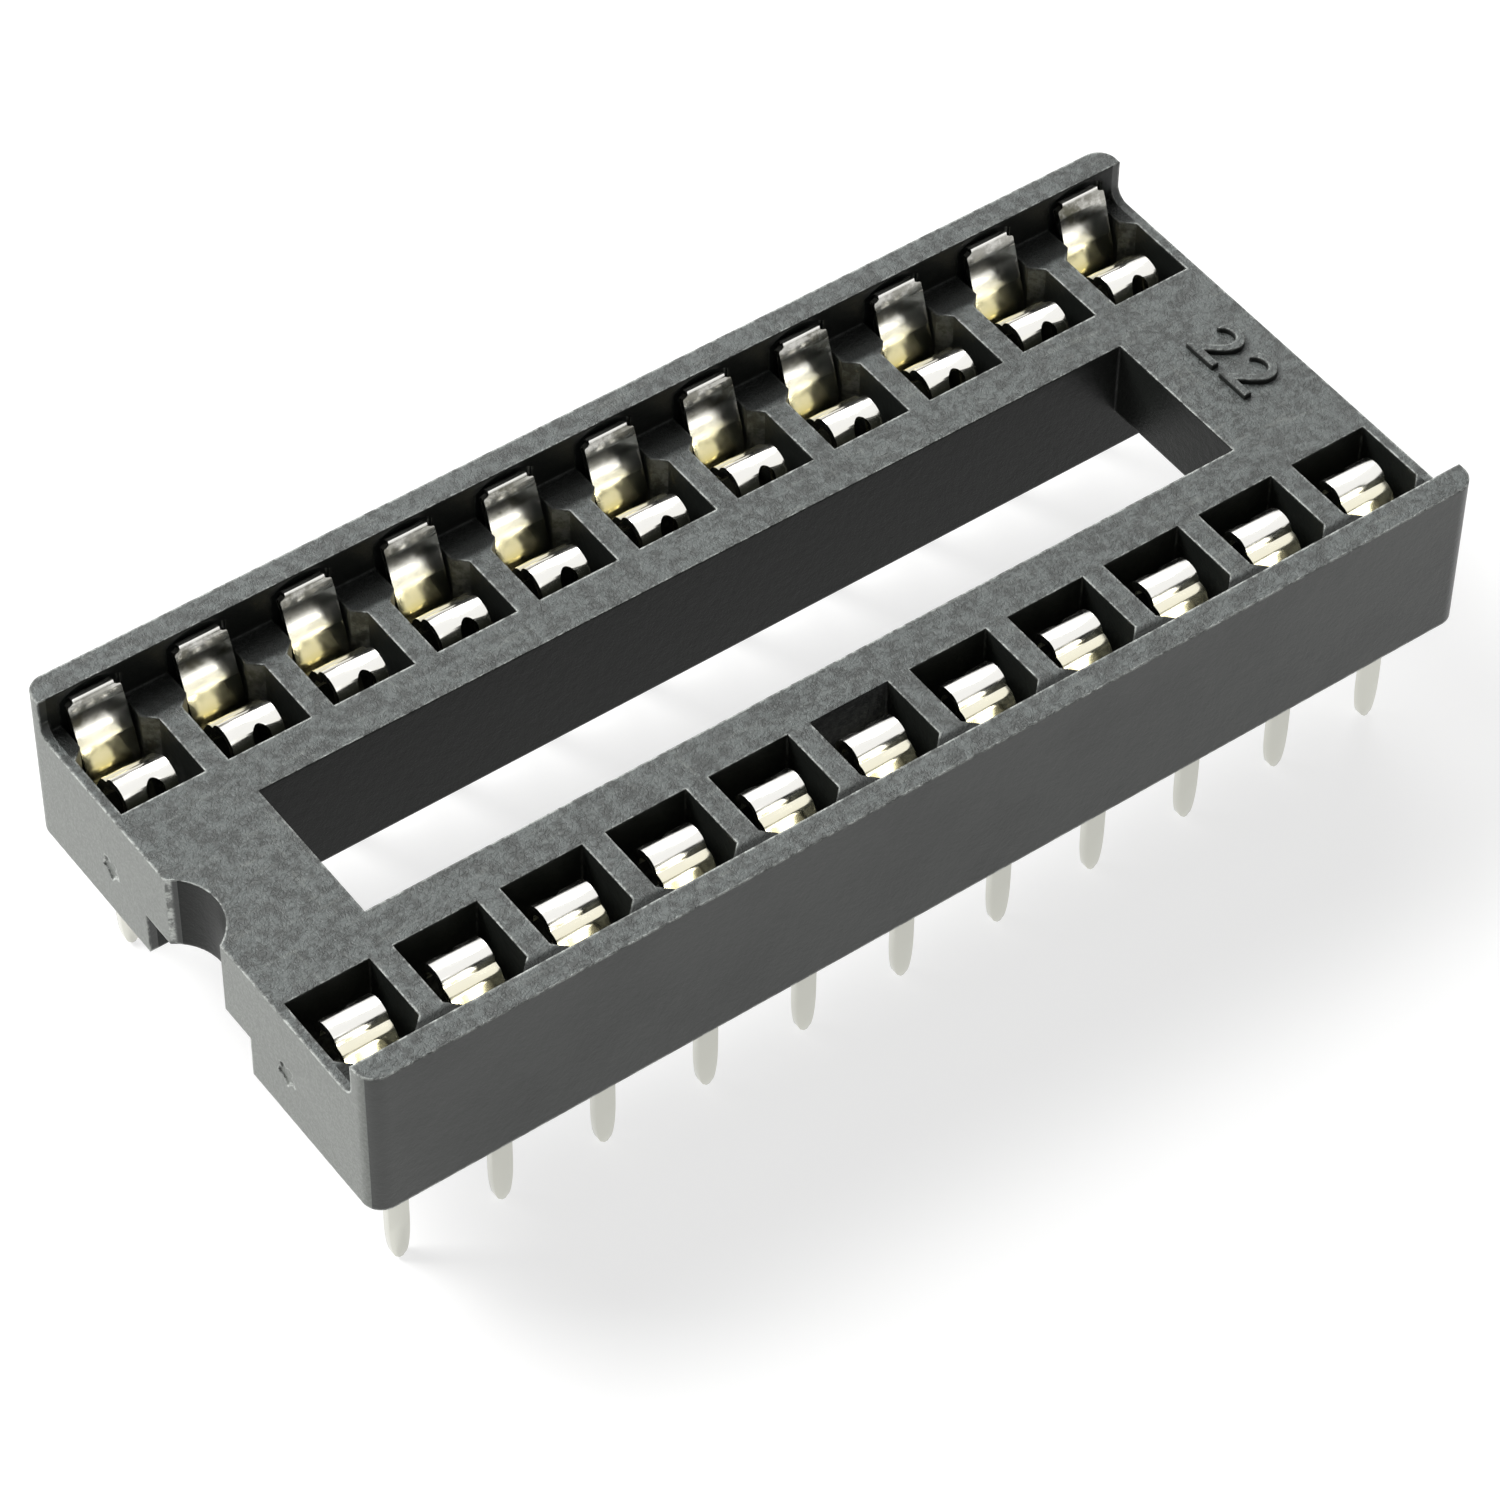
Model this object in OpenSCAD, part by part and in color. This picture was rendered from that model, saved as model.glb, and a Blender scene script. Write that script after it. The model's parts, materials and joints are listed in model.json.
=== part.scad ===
// Dual-in-line socket for an integrated circuit, with dual-leaf stamped contacts.
// Millimetres, +Z up, +X along the rows, notched end at -X.
// The origin is under the middle of the contact pattern, level with the tail tips.

/* [Contact pattern] */
// Contacts in each row
row_count = 11; // [4:1:20]
// Distance from one contact to the next along a row
pitch = 2.54; // [2.5:0.01:2.6]
// Distance between the two rows of contacts
row_spacing = 10.16; // [9.8:0.02:15.24]

/* [Housing] */
// Distance from the row centre out to the outer face of the housing
row_to_face = 1.27; // [1.2:0.01:1.35]
// Height from the underside of a rail to the flat seat the chip rests on
rail_h = 3.11; // [2.9:0.01:3.6]
// Height of the outer side walls above the seat
wall_rise = 0.99; // [0.85:0.01:1.2]
// Thickness of the outer side walls
side_wall_t = 0.62; // [0.58:0.01:0.66]
// Thickness of the wall that closes each end of a row
end_wall_t = 0.225; // [0.18:0.005:0.4]
// Radius of the four upright corners
corner_r = 0.46; // [0.2:0.01:0.55]
// Radius of the hollow where an end wall sweeps up into a side wall
sweep_r = 0.36; // [0.2:0.01:0.42]

/* [Bridges and window] */
// Width of one rail, from the outer face to the window
rail_w = 4.41; // [4.2:0.01:4.6]
// Length of the bridge at the notched end
notch_bridge_l = 2.8; // [2.2:0.01:4]
// Length of the bridge at the plain end
plain_bridge_l = 2.93; // [2.2:0.01:4]
// Thickness of both bridges, measured down from the seat
bridge_t = 1.97; // [1.6:0.01:2.4]
// Radius of the orientation notch
notch_r = 1.2; // [0.9:0.01:1.5]
// Depth of the orientation notch from the end face
notch_depth = 0.58; // [0.4:0.01:0.8]

/* [Cavities] */
// Length of a contact cavity along the row
cavity_l = 1.99; // [1.94:0.01:2.04]
// Distance from the outer face to the inner edge of a cavity
cavity_reach = 3.35; // [3.25:0.01:3.45]
// Length of a cavity where the pilasters narrow it beside the side wall
cavity_neck_l = 1.44; // [1.42:0.01:1.5]
// Distance from the outer face to the front of the pilasters
pilaster_reach = 1.32; // [1.1:0.01:1.4]
// Thickness of the floor under a cavity
floor_t = 0.6; // [0.5:0.01:0.7]
// Depth of the pocket in the side wall behind each contact
pocket_depth = 0.14; // [0.13:0.005:0.18]
// Height of the pocket's shoulders above the seat
pocket_rise = 0.68; // [0.66:0.01:0.72]
// Height the pocket's arched top adds at its middle
pocket_arch = 0.26; // [0.2:0.01:0.3]

/* [Ejector marks] */
// Radius of the round marks on the end faces and the window face
mark_r = 0.42; // [0.3:0.01:0.5]
// Depth of the round marks
mark_depth = 0.04; // [0.02:0.005:0.06]
// Distance of the marks from the middle of the end face
mark_offset = 3.27; // [2.8:0.01:3.5]

/* [Contacts] */
// Thickness of the contact strip
strip_t = 0.2; // [0.18:0.005:0.2]
// Width of both leaves
leaf_w = 1.3; // [1.2:0.01:1.36]
// Width of the tab at the top of the outer leaf
tab_w = 0.84; // [0.6:0.01:0.9]
// Height of the tab above the seat
tab_rise = 0.86; // [0.82:0.01:0.88]
// Height of the outer leaf's shoulders above the seat
shoulder_rise = 0.64; // [0.5:0.01:0.7]
// Width of the slot in the rolled end of the inner leaf
mousehole_w = 0.4; // [0.3:0.01:0.5]
// Depth below the seat of the slot's round top
mousehole_drop = 0.21; // [0.18:0.01:0.3]
// Radius of the roll at the top of the inner leaf
roll_r = 0.34; // [0.28:0.01:0.35]
// Inside bend radius of the contact strip
bend_r = 0.1; // [0.06:0.01:0.14]

/* [Solder tails] */
// Width of a tail
tail_w = 0.5; // [0.4:0.01:0.6]
// Length of a tail below the rail
tail_l = 3.5; // [2.8:0.05:4.5]
// Length of the taper at the end of a tail
taper_l = 1.1; // [0.6:0.05:1.6]
// Width of the blunt tip
tip_w = 0.2; // [0.15:0.01:0.3]
// Clearance on each side of a tail in the slot through the floor
slot_clear = 0.03; // [0.02:0.005:0.06]
// Size the recess under the floor adds on each side of a tail
recess_margin = 0.3; // [0.2:0.01:0.35]
// Depth of the recess around each tail in the underside
recess_depth = 0.2; // [0.1:0.01:0.25]

/* [Detail] */
// Facets in a full circle
circle_facets = 48; // [32:8:64]
// Steps in each bend of the strip
bend_steps = 5; // [3:1:8]

/* [Hidden] */
$fn = circle_facets;
body_w = row_spacing + 2 * row_to_face;
body_l = (row_count - 1) * pitch + cavity_l + 2 * end_wall_t;
half_w = body_w / 2;
half_l = body_l / 2;
seat_z = tail_l + rail_h;
wall_top_z = seat_z + wall_rise;
bridge_z = seat_z - bridge_t;
floor_z = tail_l + floor_t;
window_l = body_l - notch_bridge_l - plain_bridge_l;
window_w = body_w - 2 * rail_w;
contact_total = 2 * row_count;
cavity_r = 0.1;
cut = 1;
black = [0.13, 0.13, 0.13];
tin = [0.86, 0.85, 0.80];

// Contact names follow the pin numbers: front row left to right, back row right to left
function contact_name(i) = str("contact_", i < 10 ? "0" : "", i);
function in_front(i) = i <= row_count;
function contact_x(i) =
    ((in_front(i) ? i - 1 : contact_total - i) - (row_count - 1) / 2) * pitch;

// ---- centre line of the strip, as [distance in from the outer face, height above the seat] ----

base_z = -rail_h + floor_t + strip_t / 2;
tail_y = row_to_face;
pinch_y = tail_y + strip_t / 2 + 0.12;

// One bend of a centre line: the corner c between points a and b, rounded to radius r
function unit(v) = v / norm(v);
function arc_points(a, c, b, r) =
    let (
        u = unit(a - c),
        v = unit(b - c),
        half = acos(max(-1, min(1, u * v))) / 2,
        back = r / tan(half),
        mid = c + unit(u + v) * (r / sin(half)),
        p = c + u * back - mid,
        q = c + v * back - mid,
        turn = sign(p.x * q.y - p.y * q.x) * acos(max(-1, min(1, unit(p) * unit(q))))
    )
    [for (k = [0:bend_steps])
        let (t = turn * k / bend_steps)
        mid + [p.x * cos(t) - p.y * sin(t), p.x * sin(t) + p.y * cos(t)]];

// A centre line through corner points [y, z, bend radius], with every corner rounded
function rounded_line(c) = [
    for (k = [0:len(c) - 1])
        for (p = (k == 0 || k == len(c) - 1)
            ? [[c[k].x, c[k].y]]
            : arc_points([c[k - 1].x, c[k - 1].y], [c[k].x, c[k].y], [c[k + 1].x, c[k + 1].y], c[k][2]))
            p
];

// Normal of a line at point k, square to the mean of the directions before and after it
function line_normal(l, k) =
    let (
        before = unit(k == 0 ? l[1] - l[0] : l[k] - l[k - 1]),
        after = unit(k == len(l) - 1 ? l[k] - l[k - 1] : l[k + 1] - l[k]),
        m = unit(before + after)
    )
    [-m.y, m.x] / max(0.5, m * before);

// A strip of thickness t along a centre line
function strip_outline(l, t) = concat(
    [for (k = [0:len(l) - 1]) l[k] + line_normal(l, k) * t / 2],
    [for (k = [len(l) - 1:-1:0]) l[k] - line_normal(l, k) * t / 2]
);

bend = bend_r + strip_t / 2;
outer_leaf_line = rounded_line([
    [side_wall_t - pocket_depth + 0.02 + strip_t / 2, tab_rise, 0],
    [0.69, 0.73, 0.3],
    [0.85, 0.4, 0.9],
    [1.17, -0.78, bend],
    [1.0, -1.5, 0.8],
    [1.0, -1.95, 0.4],
    [tail_y, base_z + 0.08, 0.2],
    [tail_y, -rail_h - tail_l, 0]
]);
inner_leaf_line = rounded_line([
    [2.82, -0.74, 0],
    [2.78, -0.12 - strip_t / 2, roll_r],
    [2.27, -0.12 - strip_t / 2, roll_r * 0.7],
    [2.16, -0.52, bend * 0.6],
    [1.97, -0.56, bend * 0.8],
    [pinch_y + 0.1, -1.42, bend],
    [2.05, base_z, bend],
    [tail_y, base_z, 0]
]);

// ---- housing ----

// Rectangle with round corners, centred
module round_plan(l, w, r) {
    union() {
        square([l - 2 * r, w], center = true);
        square([l, w - 2 * r], center = true);
        for (x = [-1, 1])
            for (y = [-1, 1])
                translate([x * (l / 2 - r), y * (w / 2 - r)])
                    circle(r);
    }
}

// Places a shape at contact i, with its y running in from the outer face of its row
module at_contact(i) {
    translate([contact_x(i), in_front(i) ? -half_w : half_w, 0])
        mirror([0, in_front(i) ? 0 : 1, 0])
            children();
}

// Plan of one cavity: narrow between the pilasters, wide behind them
module cavity_plan() {
    flare = (cavity_l - cavity_neck_l) / 2;
    polygon([
        [-cavity_neck_l / 2, side_wall_t],
        [cavity_neck_l / 2, side_wall_t],
        [cavity_neck_l / 2, pilaster_reach],
        [cavity_l / 2, pilaster_reach + flare],
        [cavity_l / 2, cavity_reach - cavity_r],
        [cavity_l / 2 - cavity_r, cavity_reach],
        [cavity_r - cavity_l / 2, cavity_reach],
        [-cavity_l / 2, cavity_reach - cavity_r],
        [-cavity_l / 2, pilaster_reach + flare],
        [-cavity_neck_l / 2, pilaster_reach]
    ]);
}

// Front view of the pocket behind a contact, square below and arched above
module pocket_front() {
    half = cavity_neck_l / 2;
    arch_r = (half * half + pocket_arch * pocket_arch) / (2 * pocket_arch);
    translate([-half, floor_z])
        square([2 * half, seat_z + pocket_rise - floor_z]);
    intersection() {
        translate([0, seat_z + pocket_rise + pocket_arch - arch_r])
            circle(arch_r, $fn = circle_facets * 2);
        translate([-half, seat_z])
            square([2 * half, wall_rise]);
    }
}

// Cavity, side-wall pocket, tail slot and underside recess of one contact
module contact_cavity() {
    slot_w = tail_w + 2 * slot_clear;
    slot_t = strip_t + 2 * slot_clear;
    translate([0, 0, floor_z])
        linear_extrude(rail_h + wall_rise)
            cavity_plan();
    translate([0, side_wall_t + pocket_depth, 0])
        rotate([90, 0, 0])
            linear_extrude(2 * pocket_depth)
                pocket_front();
    translate([-slot_w / 2, tail_y - slot_t / 2, tail_l - cut])
        cube([slot_w, slot_t, floor_t + 2 * cut]);
    translate([-slot_w / 2 - recess_margin, tail_y - slot_t / 2 - recess_margin, tail_l - cut])
        cube([slot_w + 2 * recess_margin, slot_t + 2 * recess_margin, recess_depth + cut]);
}

// Hollow sweep from the top of an end wall up to a side wall, at one corner of the body
module corner_sweep() {
    translate([-half_l, -half_w + side_wall_t, seat_z])
        rotate([90, 0, 90])
            linear_extrude(end_wall_t)
                difference() {
                    square(sweep_r);
                    translate([sweep_r, sweep_r])
                        circle(sweep_r);
                }
}

// Round mark left by an ejector pin, on a face square to X
module ejector_mark(x, y, z) {
    translate([x - mark_depth, y, z])
        rotate([0, 90, 0])
            cylinder(h = 2 * mark_depth, r = mark_r);
}

// Moulded body with two rails, two bridges, the window, the notch and all cavities
module housing() {
    window_x = -half_l + notch_bridge_l;
    inner_w = body_w - 2 * side_wall_t;
    mark_z = seat_z - 1.78;
    color(black)
        difference() {
            union() {
                difference() {
                    translate([0, 0, tail_l])
                        linear_extrude(rail_h + wall_rise)
                            round_plan(body_l, body_w, corner_r);
                    translate([-half_l - cut, -inner_w / 2, seat_z])
                        cube([body_l + 2 * cut, inner_w, wall_rise + cut]);
                }
                for (x = [0, 1])
                    for (y = [0, 1])
                        mirror([x, 0, 0])
                            mirror([0, y, 0])
                                corner_sweep();
            }
            // window between the rails and the bridges
            translate([window_x, -window_w / 2, tail_l - cut])
                cube([window_l, window_w, rail_h + 2 * cut]);
            // space under both bridges
            translate([-half_l - cut, -window_w / 2, tail_l - cut])
                cube([body_l + 2 * cut, window_w, bridge_z - tail_l + cut]);
            // orientation notch
            translate([-half_l + notch_depth - notch_r, 0, tail_l - cut])
                cylinder(h = rail_h + 2 * cut, r = notch_r);
            for (i = [1:contact_total])
                at_contact(i)
                    contact_cavity();
            ejector_mark(-half_l, -mark_offset, mark_z);
            ejector_mark(-half_l, mark_offset, mark_z);
        }
}

// ---- contacts ----

// Front view of the outer leaf and its tail: tab, shoulders, body and tapered tip
module outer_leaf_front() {
    shoulder_z = shoulder_rise;
    waist_z = -1.3;
    waist_w = 0.9;
    tail_top_z = -rail_h + floor_t;
    tip_z = -rail_h - tail_l;
    taper_steps = 6;
    right = concat(
        [
            [tab_w / 2, tab_rise + cut],
            [tab_w / 2, shoulder_z + 0.1],
            [leaf_w / 2, shoulder_z],
            [leaf_w / 2, waist_z + 0.5],
            [waist_w / 2, waist_z],
            [waist_w / 2, tail_top_z + 0.25],
            [tail_w / 2, tail_top_z + 0.02]
        ],
        [for (k = [0:taper_steps])
            let (a = 90 * k / taper_steps)
            [
                tip_w / 2 + (tail_w - tip_w) / 2 * cos(a),
                tip_z + 0.08 + (taper_l - 0.08) * (1 - sin(a))
            ]],
        [[tip_w / 2 - 0.06, tip_z]]
    );
    left = [for (k = [len(right) - 1:-1:0]) [-right[k].x, right[k].y]];
    polygon(concat(right, left));
}

// A strip of width w bent along a centre line, lying across the row
module bent_strip(line, w) {
    translate([-w / 2, 0, 0])
        rotate([90, 0, 90])
            linear_extrude(w)
                polygon(strip_outline(line, strip_t));
}

// One contact with its outer leaf, rolled inner leaf and solder tail
module contact() {
    color(tin)
        union() {
            intersection() {
                bent_strip(outer_leaf_line, leaf_w + cut);
                translate([0, rail_w, 0])
                    rotate([90, 0, 0])
                        linear_extrude(rail_w)
                            outer_leaf_front();
            }
            difference() {
                bent_strip(inner_leaf_line, leaf_w);
                translate([0, cavity_reach, -mousehole_drop - mousehole_w / 2])
                    rotate([90, 0, 0])
                        cylinder(h = cavity_reach - 2.6, d = mousehole_w);
                translate([-mousehole_w / 2, 2.6, -mousehole_drop - mousehole_w / 2 - cut])
                    cube([mousehole_w, cavity_reach - 2.6, cut]);
            }
        }
}

// ---- the nodes ----

housing();
for (i = [1:contact_total])
    at_contact(i)
            translate([0, 0, seat_z])
                contact();
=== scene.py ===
"""Looks for a dual-in-line chip socket: black moulded housing and bright tin contacts."""
import json
import logging
import math
import random
from dataclasses import dataclass, field
from enum import Enum
from typing import List, Optional, Sequence, Tuple

import bmesh
import bpy
from mathutils import Matrix, Vector

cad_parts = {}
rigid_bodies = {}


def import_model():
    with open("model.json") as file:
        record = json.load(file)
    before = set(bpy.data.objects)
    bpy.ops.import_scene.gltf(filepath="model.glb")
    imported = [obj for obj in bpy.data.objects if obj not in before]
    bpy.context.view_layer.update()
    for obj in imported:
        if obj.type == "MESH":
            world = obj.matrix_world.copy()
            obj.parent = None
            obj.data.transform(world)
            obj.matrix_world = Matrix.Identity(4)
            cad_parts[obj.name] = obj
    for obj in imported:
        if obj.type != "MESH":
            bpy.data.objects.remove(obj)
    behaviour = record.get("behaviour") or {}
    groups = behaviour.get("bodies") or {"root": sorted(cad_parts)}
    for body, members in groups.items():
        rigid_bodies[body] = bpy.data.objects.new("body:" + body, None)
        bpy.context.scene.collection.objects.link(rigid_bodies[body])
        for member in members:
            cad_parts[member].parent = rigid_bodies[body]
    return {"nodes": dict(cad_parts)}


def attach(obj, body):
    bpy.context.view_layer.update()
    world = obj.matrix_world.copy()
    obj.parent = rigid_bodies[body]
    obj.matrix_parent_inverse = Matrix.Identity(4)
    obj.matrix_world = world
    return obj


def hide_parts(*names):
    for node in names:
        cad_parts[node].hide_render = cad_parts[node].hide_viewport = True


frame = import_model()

LOG = logging.getLogger("socket")
MM = 0.001
MERGE = 1e-7
FLAT_ANGLE = math.radians(0.5)
CAP_SHARE = 0.73
Colour = Tuple[float, float, float]
Point = Tuple[float, float, float]


class Lamp(Enum):
    """Kinds of studio lamp that the stage uses."""

    KEY = "key_lamp"
    FILL = "fill_lamp"
    BACK = "back_lamp"


class NodeSheet:
    """A small helper that lays out one material's nodes in order."""

    def __init__(self, name: str) -> None:
        """Starts an empty material with an output and a shader.

        Args:
            name: The material's name.
        """
        self.material = bpy.data.materials.new(name)
        self.material.use_nodes = True
        self.tree = self.material.node_tree
        self.tree.nodes.clear()
        self.output = self.add("ShaderNodeOutputMaterial")
        self.shader = self.add("ShaderNodeBsdfPrincipled")
        self.link(self.shader, "BSDF", self.output, "Surface")
        self.coords = self.add("ShaderNodeTexCoord")

    def add(self, kind: str, **settings: object) -> bpy.types.Node:
        """Adds a node and sets its plain properties.

        Args:
            kind: The node's type name.
            **settings: Property names and their values.

        Returns:
            The new node.
        """
        node = self.tree.nodes.new(kind)
        for key, value in settings.items():
            setattr(node, key, value)
        return node

    def link(self, source: bpy.types.Node, out: object, target: bpy.types.Node,
             into: object) -> None:
        """Joins one node's output to another node's input.

        Args:
            source: The node to read.
            out: Its output's name or index.
            target: The node that takes the value.
            into: Its input's name or index.
        """
        self.tree.links.new(source.outputs[out], target.inputs[into])

    def noise(self, scale: float, detail: float = 4.0, rough: float = 0.6,
              stretch: Optional[Point] = None, offset: Point = (0.0, 0.0, 0.0)) -> bpy.types.Node:
        """Adds a noise pattern on Object coordinates.

        Args:
            scale: Pattern repeats in a metre.
            detail: Octaves of detail.
            rough: Strength of the finer octaves.
            stretch: Scale along each axis, or None for an even pattern.
            offset: Shift of the pattern, in metres.

        Returns:
            The noise node.
        """
        tex = self.add("ShaderNodeTexNoise")
        tex.inputs["Scale"].default_value = scale
        tex.inputs["Detail"].default_value = detail
        tex.inputs["Roughness"].default_value = rough
        mapping = self.add("ShaderNodeMapping")
        mapping.inputs["Scale"].default_value = stretch or (1.0, 1.0, 1.0)
        mapping.inputs["Location"].default_value = offset
        self.link(self.coords, "Object", mapping, "Vector")
        self.link(mapping, "Vector", tex, "Vector")
        return tex

    def ramp(self, source: bpy.types.Node, out: object, low: float, high: float,
             start: float = 0.0, end: float = 1.0) -> bpy.types.Node:
        """Maps a value range to another with clamping.

        Args:
            source: The node to read.
            out: Its output's name or index.
            low: Input value that gives start.
            high: Input value that gives end.
            start: Output at low.
            end: Output at high.

        Returns:
            The map node, whose output is Result.
        """
        node = self.add("ShaderNodeMapRange", clamp=True, interpolation_type="SMOOTHSTEP")
        node.inputs["From Min"].default_value = low
        node.inputs["From Max"].default_value = high
        node.inputs["To Min"].default_value = start
        node.inputs["To Max"].default_value = end
        self.link(source, out, node, "Value")
        return node

    def math(self, kind: str, a: object, b: object, clamp: bool = False) -> bpy.types.Node:
        """Adds a two-input sum; each input is a number or a (node, output) pair.

        Args:
            kind: Math operation.
            a: First input.
            b: Second input.
            clamp: Whether the result is held between 0 and 1.

        Returns:
            The math node.
        """
        node = self.add("ShaderNodeMath", operation=kind, use_clamp=clamp)
        for slot, value in enumerate((a, b)):
            if isinstance(value, tuple):
                self.link(value[0], value[1], node, slot)
            else:
                node.inputs[slot].default_value = value
        return node

    def mix(self, factor: Tuple[bpy.types.Node, object], a: object, b: object) -> bpy.types.Node:
        """Mixes two colours; each is a colour or a (node, output) pair.

        Args:
            factor: Node and output that drive the mix.
            a: Colour at 0.
            b: Colour at 1.

        Returns:
            The mix node, whose colour output is index 2.
        """
        node = self.add("ShaderNodeMix", data_type="RGBA", clamp_factor=True)
        self.link(factor[0], factor[1], node, 0)
        for slot, value in ((6, a), (7, b)):
            if isinstance(value[0], bpy.types.Node):
                self.link(value[0], value[1], node, slot)
            else:
                node.inputs[slot].default_value = (*value, 1.0)
        return node

    def bump(self, height: Tuple[bpy.types.Node, object], depth: float, strength: float,
             under: Optional[bpy.types.Node] = None) -> bpy.types.Node:
        """Adds a bump of a real depth, over another bump if one is given.

        Args:
            height: Node and output that give the height from 0 to 1.
            depth: Height range in metres.
            strength: Share of the bump that shows.
            under: Bump node whose normal this one starts from.

        Returns:
            The bump node.
        """
        node = self.add("ShaderNodeBump")
        node.inputs["Distance"].default_value = depth
        node.inputs["Strength"].default_value = strength
        self.link(height[0], height[1], node, "Height")
        if under is not None:
            self.link(under, "Normal", node, "Normal")
        return node


@dataclass(frozen=True)
class PlasticFinish:
    """Dark glass-filled plastic: smooth sides, scuffed tops, speckled ends lightened with painted
    light, pale edges that are partly worn and partly a painted highlight, and painted shade on the
    cavity and window walls and the ledges by the side walls.
    """

    name: str = "black_moulded_plastic"
    base: Colour = (0.018, 0.0205, 0.0185)
    clouded: Colour = (0.027, 0.030, 0.0275)
    scuffed: Colour = (0.088, 0.099, 0.095)
    # pale grey for the scratches on the tops, and the painted light that lightens the end faces,
    # broken by speckle
    scratch_and_painted_end_light: Colour = (0.172, 0.184, 0.168)
    # painted shade: near-black colour laid on the cavity and window walls and on the ledges where
    # the side walls cast shadow
    painted_shade: Colour = (0.008, 0.009, 0.008)
    # pale edge line: partly worn flash, partly a painted highlight on the edges
    worn_and_highlit: Colour = (0.70, 0.73, 0.69)
    side_roughness: float = 0.36
    top_roughness: float = 0.46
    plain_gloss: float = 0.5
    # lower gloss that goes with the painted shade, in the same places
    inner_gloss: float = 0.16
    scratch_share: float = 0.45
    # share of the pale edge line, partly wear and partly painted highlight
    wear_and_highlight_share: float = 0.8
    # share of the painted shade
    painted_shade_share: float = 0.9
    end_from_x: float = 13.85 * MM
    inner_to_x: float = 13.72 * MM
    inner_to_y: float = 5.74 * MM
    ledge_from_y: float = 4.75 * MM
    ledge_full_y: float = 4.97 * MM
    ledge_below_z: float = 6.9 * MM
    edge_radius: float = 0.09 * MM
    pitting: float = 0.028 * MM
    peel_depth: float = 0.022 * MM
    scratch_depth: float = 0.004 * MM
    grain_depth: float = 0.003 * MM

    def top_mask(self, sheet: NodeSheet, axes: bpy.types.Node) -> bpy.types.Node:
        """Finds the faces that look up.

        Args:
            sheet: The material's nodes.
            axes: The split face normal.

        Returns:
            The mask node, whose output is Result.
        """
        return sheet.ramp(axes, "Z", 0.55, 0.9)

    def end_mask(self, sheet: NodeSheet, axes: bpy.types.Node,
                 reach: bpy.types.Node) -> bpy.types.Node:
        """Finds the two end faces of the body.

        Args:
            sheet: The material's nodes.
            axes: The split face normal.
            reach: Distance from the middle along the rows.

        Returns:
            The mask node.
        """
        at_end = sheet.math("GREATER_THAN", (reach, 0), self.end_from_x)
        facing = sheet.math("ABSOLUTE", (axes, "X"), 0.0)
        end_side = sheet.math("GREATER_THAN", (facing, 0), 0.7)
        return sheet.math("MULTIPLY", (at_end, 0), (end_side, 0))

    def painted_shade_mask(self, sheet: NodeSheet, place: bpy.types.Node, reach: bpy.types.Node,
                  upward: bpy.types.Node) -> bpy.types.Node:
        """Finds where shade is painted: the cavity and window walls, and the ledges beside the side
        walls, where those walls' shadow falls.

        Args:
            sheet: The material's nodes.
            place: The split place on the object.
            reach: Distance from the middle along the rows.
            upward: Mask of the faces that look up.

        Returns:
            The mask node.
        """
        across = sheet.math("ABSOLUTE", (place, "Y"), 0.0)
        within_y = sheet.math("LESS_THAN", (across, 0), self.inner_to_y)
        within_x = sheet.math("LESS_THAN", (reach, 0), self.inner_to_x)
        within = sheet.math("MULTIPLY", (within_y, 0), (within_x, 0))
        sideways = sheet.ramp(upward, "Result", 0.0, 1.0, 1.0, 0.0)
        wall = sheet.math("MULTIPLY", (within, 0), (sideways, "Result"))
        ledge = sheet.ramp(across, 0, self.ledge_from_y, self.ledge_full_y)
        low = sheet.math("LESS_THAN", (place, "Z"), self.ledge_below_z)
        ledge_low = sheet.math("MULTIPLY", (ledge, "Result"), (low, 0))
        ledge_in = sheet.math("MULTIPLY", (ledge_low, 0), (within, 0))
        return sheet.math("MAXIMUM", (wall, 0), (ledge_in, 0))

    def tones(self, sheet: NodeSheet, upward: bpy.types.Node, end_face: bpy.types.Node,
              mottle: bpy.types.Node, scratch: bpy.types.Node,
              grain: bpy.types.Node) -> bpy.types.Node:
        """Lays the clouds, scuffs, scratches and speckle over the base colour, and paints light
        over the end faces as a pale speckled grey.

        Args:
            sheet: The material's nodes.
            upward: Mask of the faces that look up.
            end_face: Mask of the end faces.
            mottle: Mottled pattern.
            scratch: Scratch pattern along the rows.
            grain: Fine grain pattern.

        Returns:
            The colour mix, whose output is index 2.
        """
        drift = sheet.noise(520.0, 3.0, 0.55, offset=(0.7, 0.2, 0.4))
        cross = sheet.noise(4600.0, 4.0, 0.7, stretch=(1.0, 0.14, 1.0))
        patch = sheet.ramp(mottle, "Fac", 0.37, 0.63)
        cloud = sheet.ramp(drift, "Fac", 0.35, 0.65)
        lines = sheet.ramp(scratch, "Fac", 0.55, 0.74)
        nicks = sheet.ramp(cross, "Fac", 0.60, 0.76)
        speck = sheet.ramp(grain, "Fac", 0.44, 0.60)
        tone = sheet.mix((cloud, "Result"), self.base, self.clouded)
        patch_share = sheet.ramp(patch, "Result", 0.0, 1.0, 0.12, 1.0)
        scuff = sheet.math("MULTIPLY", (upward, "Result"), (patch_share, "Result"))
        topped = sheet.mix((scuff, 0), (tone, 2), self.scuffed)
        both = sheet.math("ADD", (lines, "Result"), (nicks, "Result"), clamp=True)
        lined = sheet.math("MULTIPLY", (upward, "Result"), (both, 0))
        lined_share = sheet.math("MULTIPLY", (lined, 0), self.scratch_share)
        scratched = sheet.mix((lined_share, 0), (topped, 2), self.scratch_and_painted_end_light)
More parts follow.
